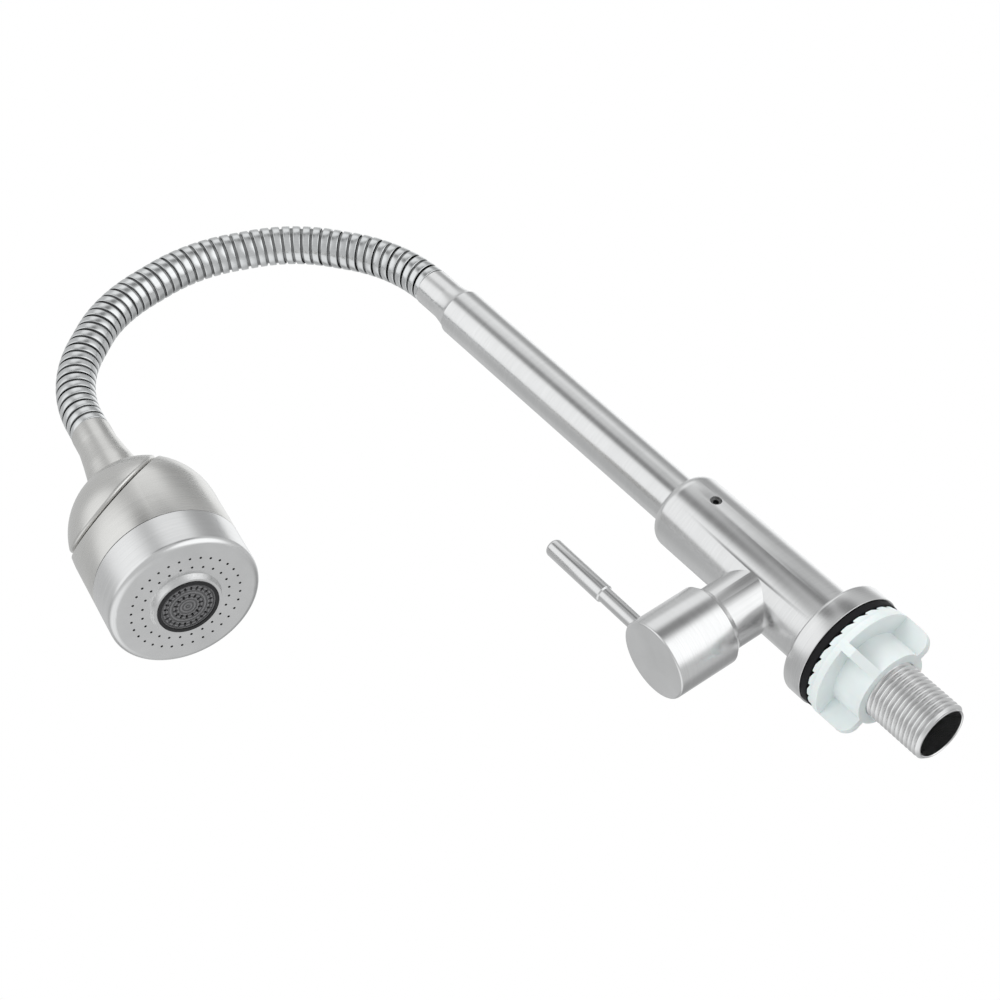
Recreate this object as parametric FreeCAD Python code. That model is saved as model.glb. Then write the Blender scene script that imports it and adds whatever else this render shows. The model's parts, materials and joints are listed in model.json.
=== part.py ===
"""Deck-mounted sink tap with a bendable gooseneck spout and a swivelling spray head.

Millimetres, +Z up. The origin is the centre of the tap hole on the deck's upper face,
so the threaded shank hangs below Z = 0 and the body stands above it. The gooseneck is
bent in the XZ plane but for a slight lean of its end to +Y, and the quarter-turn handle
lies along +X.
"""
import FreeCAD, Part
import math
import os
from FreeCAD import Placement, Rotation, Vector

# Running and seating clearances, radial or axial
RUN_GAP = 0.08
SEAT_GAP = 0.05
SEAM_GAP = 0.30

# Half width of the blocks that cut a piece along a plane
REACH = 200.0

# Deck washer, base flange and threaded shank
WASHER_R = 20.6
WASHER_T = 2.5
FLANGE_R = 21.15
FLANGE_H = 8.0
FLANGE_EDGE = 1.4
SHANK_R = 20.955 / 2
SHANK_BORE_R = 8.85
SHANK_BELOW = 40.0
SHANK_ENGAGED = 15.5
SHANK_CHAMFER = 1.0

# Tap body
BODY_R = 14.0
BODY_TOP = 84.3
BODY_SHOULDER = 4.4
SPIGOT_WALL = 2.0
INLET_TOP = 27.0
PORT_R = 3.8
OUTLET_R = 3.0

# Lock washer and wing nut under the deck
LOCK_R = 20.3
LOCK_DROP = 0.3
LOCK_T = 1.5
LOCK_TEETH = 24
LOCK_TOOTH_H = 0.9
NUT_DISC_R = 20.9
NUT_DISC_T = 2.6
NUT_HUB_R = 13.7
NUT_HUB_H = 11.6
WING_T = 3.4
WING_ANGLE = -30.0
WING_CORNER = 5.0

# Handle axis, branch and ceramic cartridge, lengths along +X
HANDLE_Z = 38.75
BRANCH_R = 11.35
BRANCH_END = 27.0
BRANCH_WALL = 2.35
SEAT_X = 2.0
SEAT_T = 2.0
DISC_T = 2.2
DISC_R = 6.8
DISC_PORT_R = 1.7
DISC_PORT_OFFSET = 3.6
SPINDLE_R = 4.5
SPINDLE_DOG_T = 3.6
SPINDLE_END_R = 3.9
SPINDLE_END = 43.0
HEX_FLATS = 19.0
HEX_T = 3.0
SLEEVE_R = 6.5
SLEEVE_END = 34.0

# Handle cap and lever
CAP_R = 14.15
CAP_REAR = 24.6
CAP_FRONT = 50.8
CAP_CHAMFER = 2.6
CAP_EDGE = 0.7
CAP_WALL = 1.95
LEVER_X = 45.0
LEVER_STUD_R = 2.5
LEVER_THIN_R = 2.75
LEVER_THICK_R = 3.25
LEVER_STEP_Z = 70.0
LEVER_TOP_Z = 97.5
GRUB_R = 1.5
GRUB_X = 39.0

# Swivelling riser
RISER_R = 9.0
RISER_WALL = 1.0
RISER_TOP = 205.6
SPIGOT_BOTTOM = 57.0
SPIGOT_TOP = 76.0
SPIGOT_PLUG = 12.0
SPIGOT_BORE_R = 5.5
RING_ZS = (60.5, 64.0)
RING_SECTION = 0.84
SET_SCREW_Z = 69.4
SET_SCREW_R = 2.0
SET_SCREW_TIP_R = 1.3
SET_SCREW_ANGLE = 98.0
WEAR_RING_Z = 73.2
WEAR_RING_H = 2.3

# Gooseneck: pitch, counts and the bend at each joint
HOSE_R = 7.0
HOSE_ROOT_R = 6.3
HOSE_BORE_R = 4.7
RIB_PITCH = 3.7
RIB_GROOVE = 1.06
RIB_BEVEL = 0.1
LIP_R = 5.9
LIP_REACH = 1.9
SOCKET_R = 6.05
SOCKET_DEPTH = 3.0
RIBS_PER_LINK = 2
RIBS_FIRST = 1
RIBS_LAST = 3
BEND_ZONES = ((8, 7.4), (7, 7.05), (7, 8.5))
SWAY_JOINTS = (5, 10, 15, 20)
SIDE_LEANS = (1.3, 1.3)
FERRULE_H = 17.4
HOSE_START_Z = RISER_TOP + FERRULE_H
HOSE_PLUG_R = 6.0
HOSE_PLUG = 14.0
FERRULE_R = 7.15
FERRULE_TAPER = 7.0
FERRULE_BORE_R = 4.85
FERRULE_PLUG = 9.6
LINER_R = 4.2
LINER_WALL = 1.2
LINER_TAIL = 18.0

# Spray head, heights above its face along its own axis
HEAD_R = 26.1
HEAD_WALL = 2.5
CUP_H = 15.55
DOME_H = 35.7
NECK_END = 89.9
NECK_BASE_R = 9.3
NECK_FLARE = 15.0
NECK_SLEEVE = 7.0
SWIVEL_TILT = 43.0
SWIVEL_TURN = 46.0
SWIVEL_SEAM = 13.7
SWIVEL_EDGE = 1.2
STEM_R = 6.0
STEM_HEAD_R = 8.6
STEM_HEAD_T = 2.2
STEM_BORE_R = 3.6
STEM_RING_SECTION = 0.5
CORE_TOP = 26.0
CORE_WALL = 1.9
WEB_H = 6.0
WEB_T = 2.5
DIVERTER_T = 2.4
DIVERTER_PORTS = 4
DIVERTER_PORT_R = 2.4
CUP_WALL = 1.22
CUP_EDGE = 2.3
FACE_T = 1.3
BOSS_R = 12.5
BOSS_H = 2.0
SLEEVE_BORE_R = 10.75
SLEEVE_TOP = 9.0
NOZZLE_R = 0.45
NOZZLE_ROWS = ((32, 18.9), (24, 15.1))
AERATOR_WALL = 1.25
AERATOR_PROUD = 0.4
AERATOR_RECESS = 0.5
AERATOR_SLOTS = ((24, 7.0, 8.5), (14, 3.6, 5.2))
AERATOR_SLOT_W = 0.8
GASKET_T = 0.5


X = Vector(1, 0, 0)
Y = Vector(0, 1, 0)
Z = Vector(0, 0, 1)
ORIGIN = Vector(0, 0, 0)


def cylinder(radius, start, end, place=None):
    """A round bar along local Z from height start to height end."""
    bar = Part.makeCylinder(radius, end - start, Vector(0, 0, start))
    return placed(bar, place) if place else bar


def placed(shape, place):
    """A copy of a shape carried from the local frame to a placement."""
    moved = shape.copy()
    moved.Placement = place.multiply(moved.Placement)
    return moved


def revolve(outline):
    """A full turn about local Z of a closed outline of (radius, height) points.

    A third entry on a point, ("arc", r, h), makes the edge that ends there an arc
    through that middle point.
    """
    corners = [Vector(p[0], 0, p[1]) for p in outline]
    edges = []
    for i, point in enumerate(outline):
        start = corners[i - 1]
        end = corners[i]
        if start.distanceToPoint(end) < 1e-6:
            continue
        if len(point) == 3:
            middle = Vector(point[2][1], 0, point[2][2])
            edges.append(Part.Arc(start, middle, end).toShape())
        else:
            edges.append(Part.LineSegment(start, end).toShape())
    face = Part.Face(Part.Wire(Part.__sortEdges__(edges)))
    return face.revolve(ORIGIN, Z, 360)


def round_ring(centre_r, section_r, height):
    """An O-ring about local Z."""
    return Part.makeTorus(centre_r, section_r, Vector(0, 0, height))


def along_x(x=0.0, z=0.0):
    """Placement that turns local Z to +X, with its origin on the handle axis."""
    return Placement(Vector(x, 0, z), Rotation(Y, 90))


def edge_arc(r, h, size, inwards_r, inwards_h):
    """Start, middle and end of a rounded corner of an outline at (r, h)."""
    k = 1 - math.sqrt(0.5)
    start = (r, h + inwards_h * size)
    end = (r + inwards_r * size, h)
    middle = ("arc", r + inwards_r * size * k, h + inwards_h * size * k)
    return start, (end[0], end[1], middle)


# Mounting parts


def threaded_shank():
    """Hollow inlet shank, screwed into the body from below."""
    top = WASHER_T + SHANK_ENGAGED
    return revolve([
        (SHANK_BORE_R, -SHANK_BELOW),
        (SHANK_R - SHANK_CHAMFER, -SHANK_BELOW),
        (SHANK_R, -SHANK_BELOW + SHANK_CHAMFER),
        (SHANK_R, top),
        (SHANK_BORE_R, top),
    ])


def body_spigot_r():
    """Radius of the body's lower end, round the shank's socket."""
    return SHANK_R + SPIGOT_WALL


def base_flange():
    """Round foot that spreads the load on the deck."""
    top = WASHER_T + FLANGE_H
    bore = body_spigot_r() + SEAT_GAP
    start, end = edge_arc(FLANGE_R, top, FLANGE_EDGE, -1, -1)
    return revolve([(bore, WASHER_T), (FLANGE_R, WASHER_T), start, end, (bore, top)])


def deck_washer():
    """Flat rubber seal between the flange and the deck."""
    inner = SHANK_R + 4 * SEAT_GAP
    return revolve([(inner, 0), (WASHER_R, 0), (WASHER_R, WASHER_T), (inner, WASHER_T)])


def lock_washer():
    """Toothed ring that grips the deck from below while the nut turns."""
    top = -LOCK_DROP
    bottom = top - LOCK_TOOTH_H - LOCK_T
    inner = SHANK_R + RUN_GAP
    ring = revolve([(inner, bottom), (LOCK_R, bottom), (LOCK_R, top), (inner, top)])
    pitch = 360.0 / LOCK_TEETH
    width = 2 * LOCK_R * math.sin(math.radians(pitch / 2))
    depth = 0.2 * LOCK_R
    notch = Part.makePolygon([
        Vector(LOCK_R - depth, 0, top),
        Vector(LOCK_R - depth, width / 2, top - LOCK_TOOTH_H),
        Vector(LOCK_R - depth, width / 2, top + LOCK_TOOTH_H),
        Vector(LOCK_R - depth, 0, top + LOCK_TOOTH_H),
        Vector(LOCK_R - depth, 0, top),
    ])
    cutter = Part.Face(notch).extrude(Vector(2 * depth, 0, 0))
    cutters = [placed(cutter, Placement(ORIGIN, Rotation(Z, i * pitch))) for i in range(LOCK_TEETH)]
    return ring.cut(cutters)


def wing_nut():
    """Plastic nut with two finger wings and two gussets."""
    top = -LOCK_DROP - LOCK_TOOTH_H - LOCK_T - 2 * SEAT_GAP
    disc_bottom = top - NUT_DISC_T
    bottom = disc_bottom - NUT_HUB_H
    inner = SHANK_R + RUN_GAP
    body = revolve([
        (inner, bottom), (NUT_HUB_R, bottom), (NUT_HUB_R, disc_bottom),
        (NUT_DISC_R, disc_bottom), (NUT_DISC_R, top), (inner, top),
    ])
    mid = (inner + NUT_HUB_R) / 2
    wing = Part.makeBox(NUT_DISC_R - mid, WING_T, disc_bottom - bottom + NUT_DISC_T / 2,
                        Vector(mid, -WING_T / 2, bottom))
    corner = [e for e in wing.Edges
              if all(abs(v.X - NUT_DISC_R) < 1e-6 and abs(v.Z - bottom) < 1e-6 for v in e.Vertexes)]
    wing = wing.makeFillet(min(WING_CORNER, 0.9 * (NUT_DISC_R - mid)), corner)
    gusset = Part.Face(Part.makePolygon([
        Vector(mid, -WING_T / 2, bottom),
        Vector(NUT_HUB_R, -WING_T / 2, bottom),
        Vector(NUT_DISC_R, -WING_T / 2, disc_bottom - WING_T),
        Vector(NUT_DISC_R, -WING_T / 2, disc_bottom + NUT_DISC_T / 2),
        Vector(mid, -WING_T / 2, disc_bottom + NUT_DISC_T / 2),
        Vector(mid, -WING_T / 2, bottom),
    ])).extrude(Vector(0, WING_T, 0))
    wings = []
    for i, shape in enumerate((wing, gusset, wing, gusset)):
        wings.append(placed(shape, Placement(ORIGIN, Rotation(Z, WING_ANGLE + 90 * i))))
    return body.fuse(wings).removeSplitter()


# Body and cartridge


def tap_body():
    """Turned body with the handle branch, the inlet chamber and the riser's socket."""
    foot = WASHER_T + 1.0
    foot_top = WASHER_T + FLANGE_H
    start, end = edge_arc(BODY_R, BODY_TOP, BODY_SHOULDER, -1, -1)
    body = revolve([(0, foot), (body_spigot_r(), foot), (body_spigot_r(), foot_top),
                    (BODY_R, foot_top), start, end, (0, BODY_TOP)])
    axis = along_x(0, HANDLE_Z)
    body = body.fuse(cylinder(BRANCH_R, 0, BRANCH_END, axis))
    socket_top = WASHER_T + SHANK_ENGAGED + SEAT_GAP
    riser_floor = SPIGOT_BOTTOM - 2.0
    port_x = SEAT_X - PORT_R - 2.0
    outlet_x = SEAT_X + SEAT_T + OUTLET_R
    holes = [
        cylinder(SHANK_R + SEAT_GAP, foot - 1, socket_top),
        cylinder(SHANK_BORE_R, foot, INLET_TOP),
        cylinder(RISER_R + RUN_GAP, riser_floor, BODY_TOP + 1),
        cylinder(BRANCH_R - BRANCH_WALL, SEAT_X, BRANCH_END + 1, axis),
        cylinder(PORT_R, port_x, SEAT_X + 1, axis),
        Part.makeCylinder(PORT_R, HANDLE_Z - INLET_TOP + 1, Vector(port_x, 0, INLET_TOP - 1)),
        Part.makeCylinder(OUTLET_R, riser_floor + 1 - HANDLE_Z, Vector(outlet_x, 0, HANDLE_Z)),
        cylinder(SET_SCREW_R + SEAT_GAP, RISER_R - 1, BODY_R + 1, screw_place()),
    ]
    return body.cut(holes)


def screw_place():
    """Placement that turns local Z to the set screw's direction, away from the axis."""
    turn = Rotation(Z, SET_SCREW_ANGLE).multiply(Rotation(Y, 90))
    return Placement(Vector(0, 0, SET_SCREW_Z), turn)


def hex_bar(flats, start, end):
    """A hexagonal bar along local Z."""
    corner = flats / math.sqrt(3)
    points = [Vector(corner * math.cos(math.radians(60 * i)), corner * math.sin(math.radians(60 * i)), start)
              for i in range(7)]
    return Part.Face(Part.makePolygon(points)).extrude(Vector(0, 0, end - start))


def spout_set_screw():
    """Grub screw whose dog point runs in the riser's groove."""
    thread_start = RISER_R + 1.2
    thread_end = BODY_R - 0.8
    tip = RISER_R - 1.2
    screw = cylinder(SET_SCREW_TIP_R, tip, thread_start).fuse(
        cylinder(SET_SCREW_R, thread_start, thread_end))
    screw = screw.cut(hex_bar(SET_SCREW_R, thread_end - 1.5, thread_end + 1))
    return placed(screw, screw_place())


def branch_bore_r():
    """Radius of the branch's bore, which holds the cartridge."""
    return BRANCH_R - BRANCH_WALL


def cartridge_start():
    """Where the cartridge's inner end meets the rubber seat."""
    return SEAT_X + SEAT_T


def cartridge_seat():
    """Rubber ring that seals the cartridge to the inlet port."""
    inner = PORT_R + 0.2
    outer = branch_bore_r() - 0.4
    ring = revolve([(inner, SEAT_X), (outer, SEAT_X), (outer, cartridge_start()),
                    (inner, cartridge_start())])
    return placed(ring, along_x(0, HANDLE_Z))


def disc_cavity_end():
    """End of the room for the two discs and the spindle's dog."""
    return cartridge_start() + 2 * DISC_T + SPINDLE_DOG_T + 5 * SEAT_GAP


def spindle_ring():
    """Centre radius, section radius and place of the spindle's seal."""
    section = 0.5
    return SPINDLE_R + SEAT_GAP + section, section, disc_cavity_end() + 5.0


def body_ring():
    """Centre radius, section radius and place of the cartridge's outer seal."""
    section = 0.56
    return branch_bore_r() - RUN_GAP / 2 - section, section, BRANCH_END - 4.0


def cartridge_body():
    """Headwork that holds the discs, with its hexagon outside the branch."""
    outer = branch_bore_r() - SEAT_GAP
    hex_end = BRANCH_END + 0.2 + HEX_T
    inner_ring, inner_section, inner_x = spindle_ring()
    outer_ring, outer_section, outer_x = body_ring()
    shape = cylinder(outer, cartridge_start(), BRANCH_END + 0.2)
    shape = shape.fuse(hex_bar(HEX_FLATS, BRANCH_END + 0.2, hex_end))
    shape = shape.fuse(cylinder(SLEEVE_R, hex_end, SLEEVE_END))
    cuts = [
        cylinder(DISC_R + 0.15, cartridge_start() - 1, disc_cavity_end()),
        cylinder(SPINDLE_R + SEAT_GAP, disc_cavity_end() - 1, SLEEVE_END + 1),
        revolve([(SPINDLE_R, inner_x - inner_section - 0.2),
                 (inner_ring + inner_section + 0.02, inner_x - inner_section - 0.2),
                 (inner_ring + inner_section + 0.02, inner_x + inner_section + 0.2),
                 (SPINDLE_R, inner_x + inner_section + 0.2)]),
        revolve([(outer_ring - outer_section - 0.02, outer_x - outer_section - 0.2),
                 (outer + 1, outer_x - outer_section - 0.2),
                 (outer + 1, outer_x + outer_section + 0.2),
                 (outer_ring - outer_section - 0.02, outer_x + outer_section + 0.2)]),
        Part.makeBox(2 * outer + 2, DISC_R, disc_cavity_end() - cartridge_start() - DISC_T - 1,
                     Vector(-outer - 1, -DISC_R / 2, cartridge_start() + DISC_T + 0.1)),
    ]
    return placed(shape.cut(cuts), along_x(0, HANDLE_Z))


def cartridge_o_rings():
    """The spindle's seal and the cartridge's outer seal."""
    rings = [round_ring(*ring) for ring in (spindle_ring(), body_ring())]
    return placed(Part.makeCompound(rings), along_x(0, HANDLE_Z))


def ceramic_disc(start, port_angle):
    """A ceramic disc with two ports."""
    disc = cylinder(DISC_R, start, start + DISC_T)
    ports = []
    for side in (0, 180):
        angle = math.radians(port_angle + side)
        at = Vector(DISC_PORT_OFFSET * math.cos(angle), DISC_PORT_OFFSET * math.sin(angle), start - 1)
        ports.append(Part.makeCylinder(DISC_PORT_R, DISC_T + 2, at))
    return placed(disc.cut(ports), along_x(0, HANDLE_Z))


def fixed_disc():
    """The disc that stays in the cartridge."""
    return ceramic_disc(cartridge_start(), 0)


def moving_disc():
    """The disc that the spindle turns; shut, its ports are square to the fixed ones."""
    return ceramic_disc(cartridge_start() + DISC_T + SEAT_GAP, 90)


def cartridge_spindle():
    """Spindle with its dog against the moving disc."""
    dog_start = cartridge_start() + 2 * DISC_T + 2 * SEAT_GAP
    dog_end = dog_start + SPINDLE_DOG_T
    end_start = SLEEVE_END - 1.0
    shape = cylinder(DISC_R - 0.2, dog_start, dog_end).fuse([
        cylinder(SPINDLE_R, dog_end, end_start),
        cylinder(SPINDLE_END_R, end_start, SPINDLE_END),
    ])
    return placed(shape, along_x(0, HANDLE_Z))


def handle_cap():
    """Round cap over the cartridge, with the holes for spindle, lever and grub screw."""
    rear_bore = BRANCH_R + 0.25
    rear_end = BRANCH_END + 0.4
    cavity_r = CAP_R - CAP_WALL
    cavity_end = SLEEVE_END + 1.0
    start, end = edge_arc(CAP_R, CAP_FRONT, CAP_EDGE, -1, -1)
    cap = revolve([
        (SPINDLE_END_R + SEAT_GAP, cavity_end), (cavity_r, cavity_end), (cavity_r, rear_end),
        (rear_bore, rear_end), (rear_bore, CAP_REAR), (rear_bore + 0.4, CAP_REAR),
        (CAP_R, CAP_REAR + CAP_CHAMFER), start, end, (0, CAP_FRONT),
        (0, SPINDLE_END + 0.3), (SPINDLE_END_R + SEAT_GAP, SPINDLE_END + 0.3),
    ])
    cap = placed(cap, along_x(0, HANDLE_Z))
    stud_floor = HANDLE_Z + SPINDLE_END_R + 1.1
    rod_floor = lever_seat_z()
    cuts = [
        Part.makeCylinder(LEVER_STUD_R + SEAT_GAP, CAP_R, Vector(LEVER_X, 0, stud_floor)),
        Part.makeCylinder(LEVER_THIN_R + SEAT_GAP, CAP_R, Vector(LEVER_X, 0, rod_floor)),
        Part.makeCylinder(GRUB_R + SEAT_GAP, CAP_R, Vector(GRUB_X, -SPINDLE_END_R + 0.5, HANDLE_Z), -Y),
    ]
    return cap.cut(cuts)


def lever_seat_z():
    """Height of the shoulder that the lever's rod screws down on."""
    return HANDLE_Z + CAP_R - 1.2


def handle_lever():
    """Slim rod lever: stud, thin rod and a thicker grip with a rounded tip."""
    stud_start = HANDLE_Z + SPINDLE_END_R + 1.3
    start, end = edge_arc(LEVER_THICK_R, LEVER_TOP_Z, 1.6, -1, -1)
    lever = revolve([
        (0, stud_start), (LEVER_STUD_R, stud_start), (LEVER_STUD_R, lever_seat_z()),
        (LEVER_THIN_R, lever_seat_z()), (LEVER_THIN_R, LEVER_STEP_Z),
        (LEVER_THICK_R, LEVER_STEP_Z + 0.4), start, end, (0, LEVER_TOP_Z),
    ])
    return placed(lever, Placement(Vector(LEVER_X, 0, 0), Rotation()))


def handle_grub_screw():
    """Grub screw that clamps the cap on the spindle."""
    start = SPINDLE_END_R + 0.05
    end = CAP_R - 3.0
    screw = cylinder(GRUB_R, start, end).cut(hex_bar(GRUB_R, end - 1.2, end + 1))
    return placed(screw, Placement(Vector(GRUB_X, 0, HANDLE_Z), Rotation(X, 90)))


# Riser


def groove(root_r, low, high, outer_r):
    """A ring to cut a groove with."""
    return revolve([(root_r, low), (outer_r, low), (outer_r, high), (root_r, high)])


def ring_centre_r():
    """Centre radius of the riser's O-rings, just inside the body's bore."""
    return RISER_R + RUN_GAP / 2 - RING_SECTION


def riser_spigot():
    """Brass end of the riser, with grooves for seals, set screw and wear ring."""
    shape = revolve([
        (SPIGOT_BORE_R, SPIGOT_BOTTOM), (RISER_R - 0.5, SPIGOT_BOTTOM), (RISER_R, SPIGOT_BOTTOM + 0.5),
        (RISER_R, SPIGOT_TOP), (RISER_R - RISER_WALL - SEAT_GAP, SPIGOT_TOP),
        (RISER_R - RISER_WALL - SEAT_GAP, SPIGOT_TOP + SPIGOT_PLUG),
        (SPIGOT_BORE_R, SPIGOT_TOP + SPIGOT_PLUG),
    ])
    screw_half = SET_SCREW_TIP_R + 0.3
    wear_half = WEAR_RING_H / 2 + SEAT_GAP
    root = ring_centre_r() - RING_SECTION - 0.02
    outer = RISER_R + 1
    cuts = [groove(root, z - RING_SECTION - 0.15, z + RING_SECTION + 0.15, outer) for z in RING_ZS]
    cuts.append(groove(RISER_R - 1.5, SET_SCREW_Z - screw_half, SET_SCREW_Z + screw_half, outer))
    cuts.append(groove(RISER_R - 1.4, WEAR_RING_Z - wear_half, WEAR_RING_Z + wear_half, outer))
    return shape.cut(cuts)


def riser_o_rings():
    """Two O-rings that seal the riser in the body."""
    return Part.makeCompound([round_ring(ring_centre_r(), RING_SECTION, z) for z in RING_ZS])


def riser_wear_ring():
    """Split plastic ring that centres the riser."""
    half = WEAR_RING_H / 2
    ring = groove(RISER_R - 1.35, WEAR_RING_Z - half, WEAR_RING_Z + half, RISER_R + RUN_GAP / 2)
    return ring.cut(Part.makeBox(2 * RISER_R, 2.5, 2 * WEAR_RING_H,
                                 Vector(0, -1.25, WEAR_RING_Z - WEAR_RING_H)))


def riser_tube():
    """Straight brushed tube between the body and the gooseneck."""
    inner = RISER_R - RISER_WALL
    return revolve([(inner, SPIGOT_TOP), (RISER_R, SPIGOT_TOP), (RISER_R, RISER_TOP), (inner, RISER_TOP)])


def hose_ferrule():
    """Reducer on top of the riser, in which the gooseneck's end is crimped."""
    plug_r = RISER_R - RISER_WALL - SEAT_GAP
    ring_top = RISER_TOP + 0.6
    taper_top = ring_top + FERRULE_TAPER
    middle = (0.35 * RISER_R + 0.65 * FERRULE_R, ring_top + 0.42 * FERRULE_TAPER)
    socket_floor = HOSE_START_Z - HOSE_PLUG - 2 * SEAT_GAP
    return revolve([
        (FERRULE_BORE_R, RISER_TOP - FERRULE_PLUG), (plug_r, RISER_TOP - FERRULE_PLUG),
        (plug_r, RISER_TOP), (RISER_R, RISER_TOP), (RISER_R - 0.5, ring_top),
        (FERRULE_R, taper_top, ("arc", middle[0], middle[1])),
        (FERRULE_R, HOSE_START_Z), (HOSE_PLUG_R + SEAT_GAP, HOSE_START_Z),
        (HOSE_PLUG_R + SEAT_GAP, socket_floor), (FERRULE_BORE_R, socket_floor),
    ])


# Gooseneck


def joint_turns():
    """Bend in degrees at each joint, nothing at the joints that sway sideways."""
    bends = [turn for count, turn in BEND_ZONES for _ in range(count)]
    turns = []
    for index in range(len(bends) + len(SWAY_JOINTS)):
        turns.append(0.0 if index in SWAY_JOINTS else bends.pop(0))
    return turns


def joint_leans():
    """Sideways lean in degrees at each joint; only the last few have one."""
    count = len(joint_turns())
    return [0.0] * (count - len(SIDE_LEANS)) + list(SIDE_LEANS)


def hose_path():
    """Placement of each link's start and of the hose's far end, and each link's ribs."""
    turns = joint_turns()
    leans = joint_leans()
    ribs = [RIBS_FIRST] + [RIBS_PER_LINK] * (len(turns) - 1) + [RIBS_LAST]
    place = Placement(Vector(0, 0, HOSE_START_Z), Rotation())
    places = [place]
    for index, count in enumerate(ribs):
        place = place.multiply(Placement(Vector(0, 0, count * RIB_PITCH), Rotation()))
        if index < len(turns):
            turn = Rotation(Y, turns[index]).multiply(Rotation(X, -leans[index]))
            place = place.multiply(Placement(ORIGIN, turn))
        places.append(place)
    return places, ribs


def circle(radius, place):
    """A circle square to local Z at a placement."""
    return Part.Wire(Part.makeCircle(radius, place.Base, place.Rotation.multVec(Z)))


def hose_link(ribs, has_socket, has_lip):
    """One rigid link of the stripwound hose, along local Z from 0.

    Each rib is a ruled loft through four circles. A spherical lip at the far end
    reaches under the next link's first rib, as the interlocked strip does.
    """
    length = ribs * RIB_PITCH
    rings = []
    for rib in range(ribs):
        low = rib * RIB_PITCH + RIB_GROOVE / 2
        high = (rib + 1) * RIB_PITCH - RIB_GROOVE / 2
        rings += [(HOSE_ROOT_R, low), (HOSE_R, low + RIB_BEVEL), (HOSE_R, high - RIB_BEVEL), (HOSE_ROOT_R, high)]
    if not has_socket:
        rings = [(HOSE_PLUG_R, -HOSE_PLUG), (HOSE_PLUG_R, 0.0)] + rings[1:]
    if not has_lip:
        rings = rings[:-1] + [(HOSE_PLUG_R, length), (HOSE_PLUG_R, length + HOSE_PLUG)]
    link = Part.makeLoft([circle(r, Placement(Vector(0, 0, h), Rotation())) for r, h in rings], True, True)
    low = rings[0][1]
    high = rings[-1][1]
    if has_lip:
        tip = length + LIP_REACH
        tip_r = math.sqrt(LIP_R ** 2 - LIP_REACH ** 2)
        root_r = math.sqrt(LIP_R ** 2 - (RIB_GROOVE / 2) ** 2)
        lip = revolve([
            (HOSE_BORE_R, high - 0.4), (root_r, high - 0.4), (root_r, high),
            (tip_r, tip, ("arc", LIP_R * math.cos(0.12), length + LIP_R * math.sin(0.12))),
            (HOSE_BORE_R, tip),
        ])
        link = link.fuse(lip)
        high = tip
    link = link.cut(cylinder(HOSE_BORE_R, low - 1, high + 1))
    if has_socket:
        link = link.cut(cylinder(SOCKET_R, low - 1, SOCKET_DEPTH))
    return link


def inner_hose(places):
    """Rubber water tube inside the gooseneck, from the ferrule into the neck."""
    def loft(radius):
        first = places[0]
        tail = Vector(0, 0, -LINER_TAIL)
        wires = [circle(radius, Placement(first.Base + tail, first.Rotation))]
        for before, place in zip(places, places[1:-1]):
            middle = before.Rotation.slerp(place.Rotation, 0.5)
            wires.append(circle(radius, Placement(place.Base, middle)))
        end = places[-1]
        wires.append(circle(radius, Placement(end.multVec(Vector(0, 0, LINER_TAIL)), end.Rotation)))
        return Part.makeLoft(wires, True, True)
    return loft(LINER_R).cut(loft(LINER_R - LINER_WALL))


# Spray head, in its own frame: face at 0, neck along +Z


def swivel_place():
    """Placement of the oblique swivel: origin at the dome's centre, Z along its axis."""
    turn = Rotation(Z, SWIVEL_TURN).multiply(Rotation(Y, SWIVEL_TILT))
    return Placement(Vector(0, 0, DOME_H), turn)


def half_space(start, end):
    """A wide block between two distances along the swivel axis."""
    return placed(Part.makeBox(2 * REACH, 2 * REACH, end - start, Vector(-REACH, -REACH, start)), swivel_place())


def dome(radius, low, wall_r):
    """A round tower with a spherical top, centred on the dome's centre."""
    return cylinder(wall_r, low, DOME_H).fuse(Part.makeSphere(radius, Vector(0, 0, DOME_H)))


def below_swivel(shape, distance):
    """The part of a shape under the oblique plane."""
    return shape.common(half_space(-REACH, distance))


def above_swivel(shape, distance):
    """The part of a shape over the oblique plane."""
    return shape.common(half_space(distance, REACH))


def shell_inside_t():
    """Distance of the shell's oblique wall's inner face along the swivel axis."""
    return SWIVEL_SEAM - SEAM_GAP / 2 - HEAD_WALL


def head_shell():
    """Outer shell of the spray head, cut off by the oblique swivel plane."""
    low = CUP_H + SEAM_GAP
    outer = below_swivel(dome(HEAD_R, low, HEAD_R).common(cylinder(HEAD_R + 1, low, REACH)),
                         SWIVEL_SEAM - SEAM_GAP / 2)
    inner_r = HEAD_R - HEAD_WALL
    inner = below_swivel(dome(inner_r, low - 1, inner_r), shell_inside_t())
    hole = placed(cylinder(STEM_R + RUN_GAP, 0, SWIVEL_SEAM + 1), swivel_place())
    return outer.cut([inner, hole])


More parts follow.
